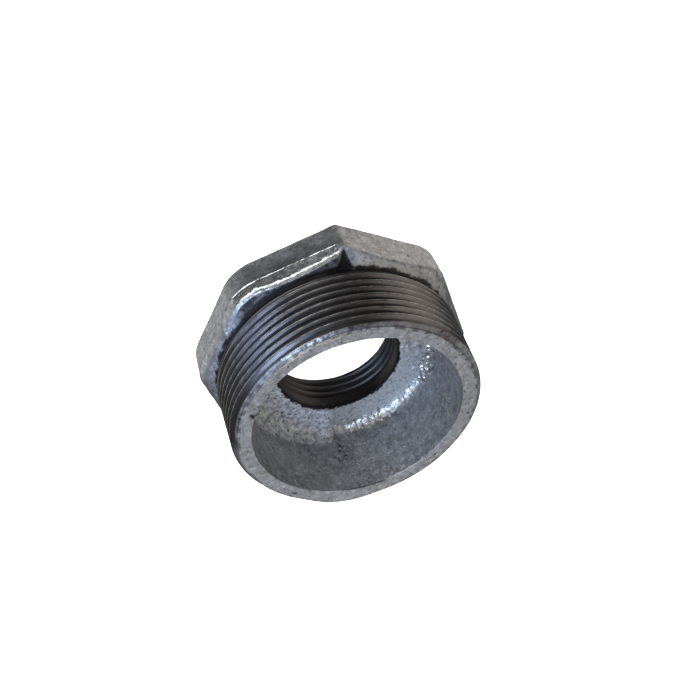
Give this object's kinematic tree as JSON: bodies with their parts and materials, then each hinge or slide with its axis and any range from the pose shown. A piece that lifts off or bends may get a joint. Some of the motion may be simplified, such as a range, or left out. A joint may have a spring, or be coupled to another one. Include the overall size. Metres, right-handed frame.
{
  "type": "threaded reducing bushing",
  "caption": "Galvanised malleable-iron reducing bushing: tapered male pipe thread, smaller tapered female thread on the same axis, and a wrench head.",
  "frame": {"origin": "centre of the wrench head's end face, where the smaller pipe screws in", "axes": "+Z along the common axis of both threads, from the head towards the male end; flats of the head face +X and +Y"},
  "size_m": [0.0632, 0.0632, 0.0298],
  "materials": {
    "galvanised_iron": "hot-dip galvanised cast skin, mottled grey; threads bare and dark"
  },
  "bodies": {
    "root": {"reducer_casting": "galvanised_iron"}
  },
  "joints": []
}
